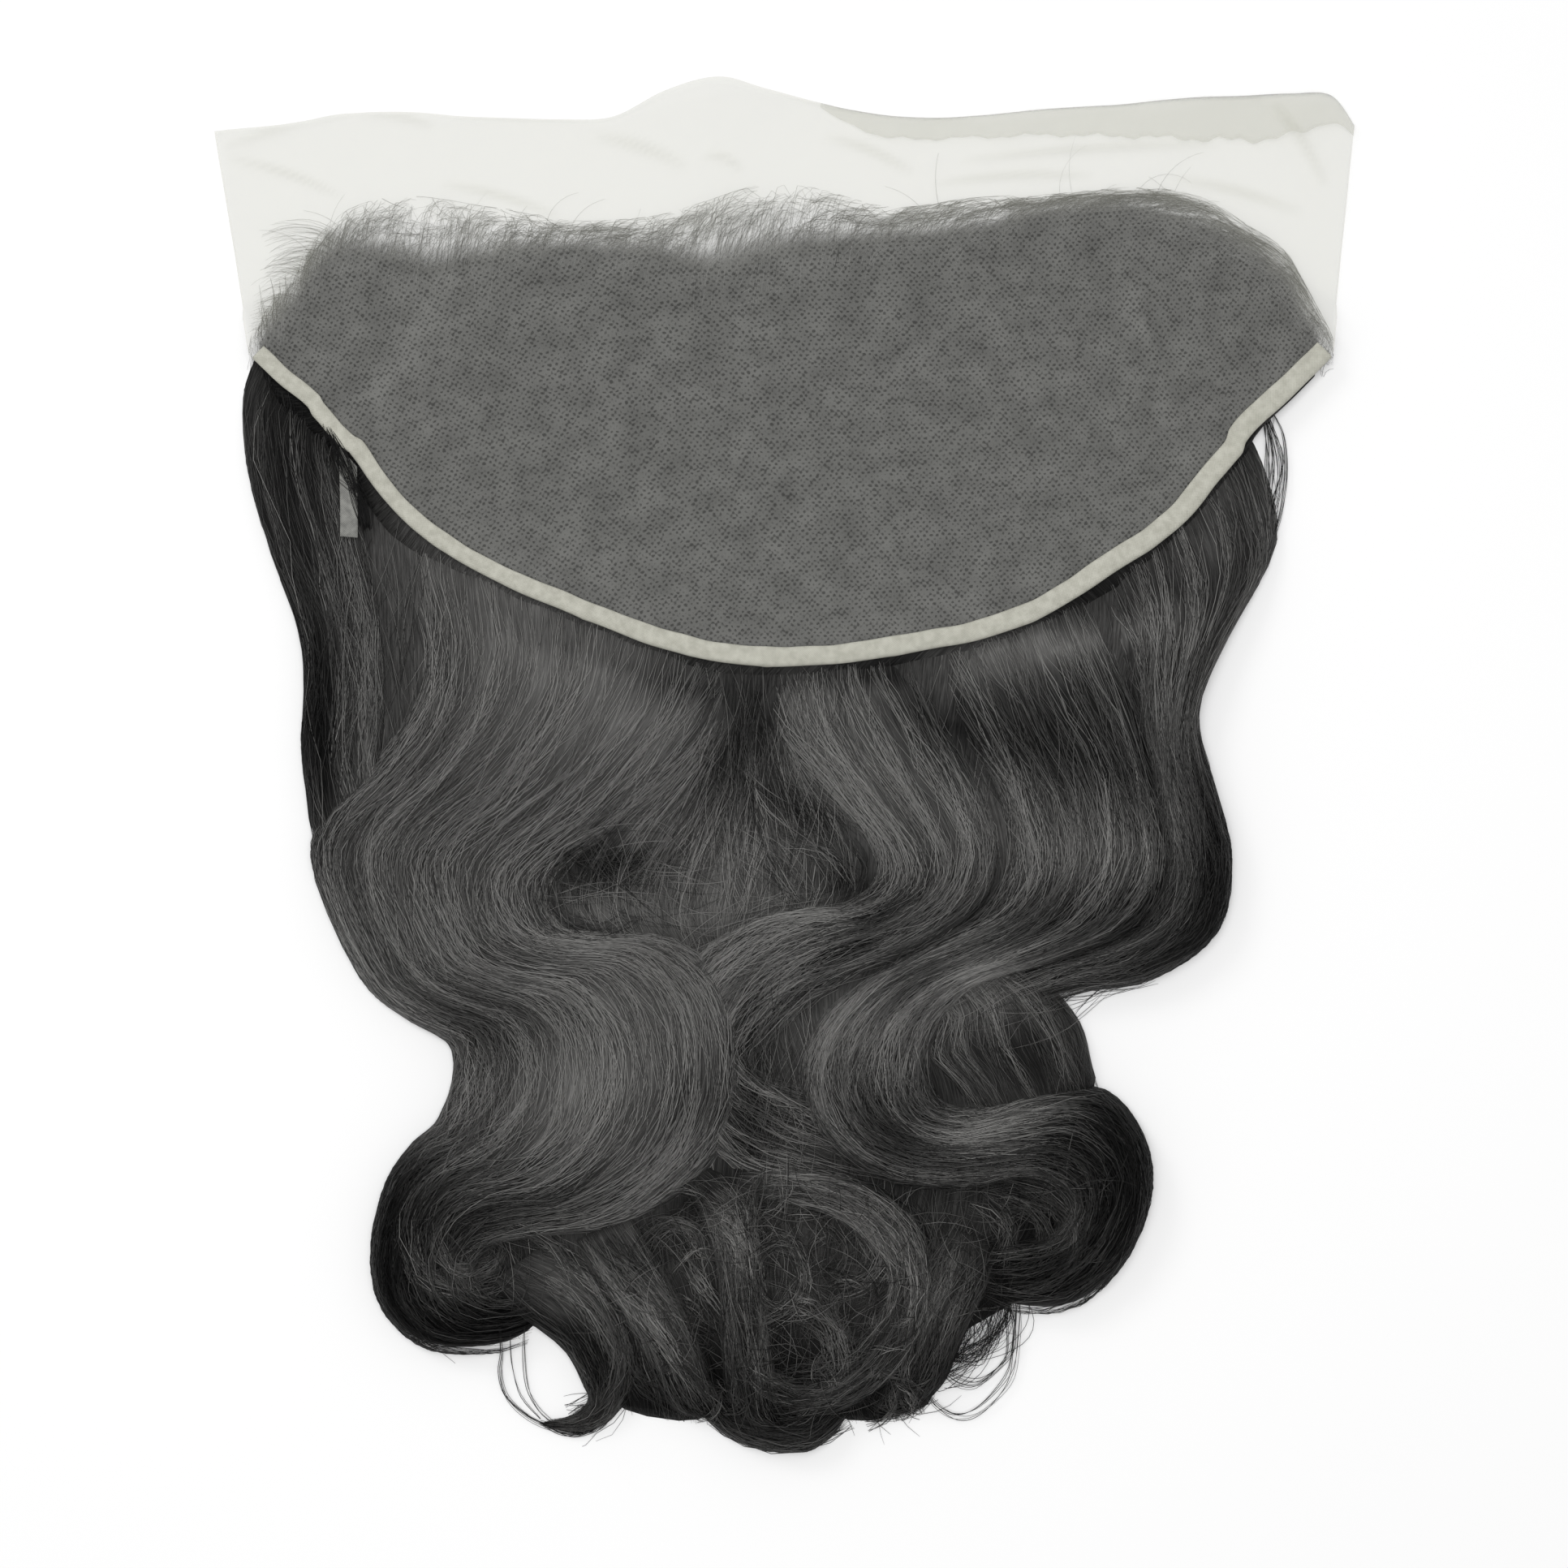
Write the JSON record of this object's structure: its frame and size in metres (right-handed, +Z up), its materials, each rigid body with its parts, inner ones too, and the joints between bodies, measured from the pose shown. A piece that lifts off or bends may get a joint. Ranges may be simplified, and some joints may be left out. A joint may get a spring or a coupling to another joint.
{
  "type": "lace frontal hairpiece",
  "caption": "Ear to ear lace frontal with a bare net front edge, a taped back edge and loose body wave hair, laid flat with its skin side up.",
  "frame": {"origin": "centre of the bounding box, on the surface that the piece lies on", "axes": "+X from the left ear end to the right as laid out, +Y from the tips of the hair to the front edge of the net, +Z up"},
  "size_m": [0.3522, 0.4248, 0.0159],
  "materials": {
    "net": "fine matt mono-thread net",
    "woven_tape": "matt woven tape",
    "loose_tape": "matt woven tape",
    "black_hair": "satin black hair"
  },
  "bodies": {
    "root": {"lace_sheet": "net", "edge_binding": "woven_tape", "tape_tail": "loose_tape", "hair": "black_hair"}
  },
  "joints": []
}
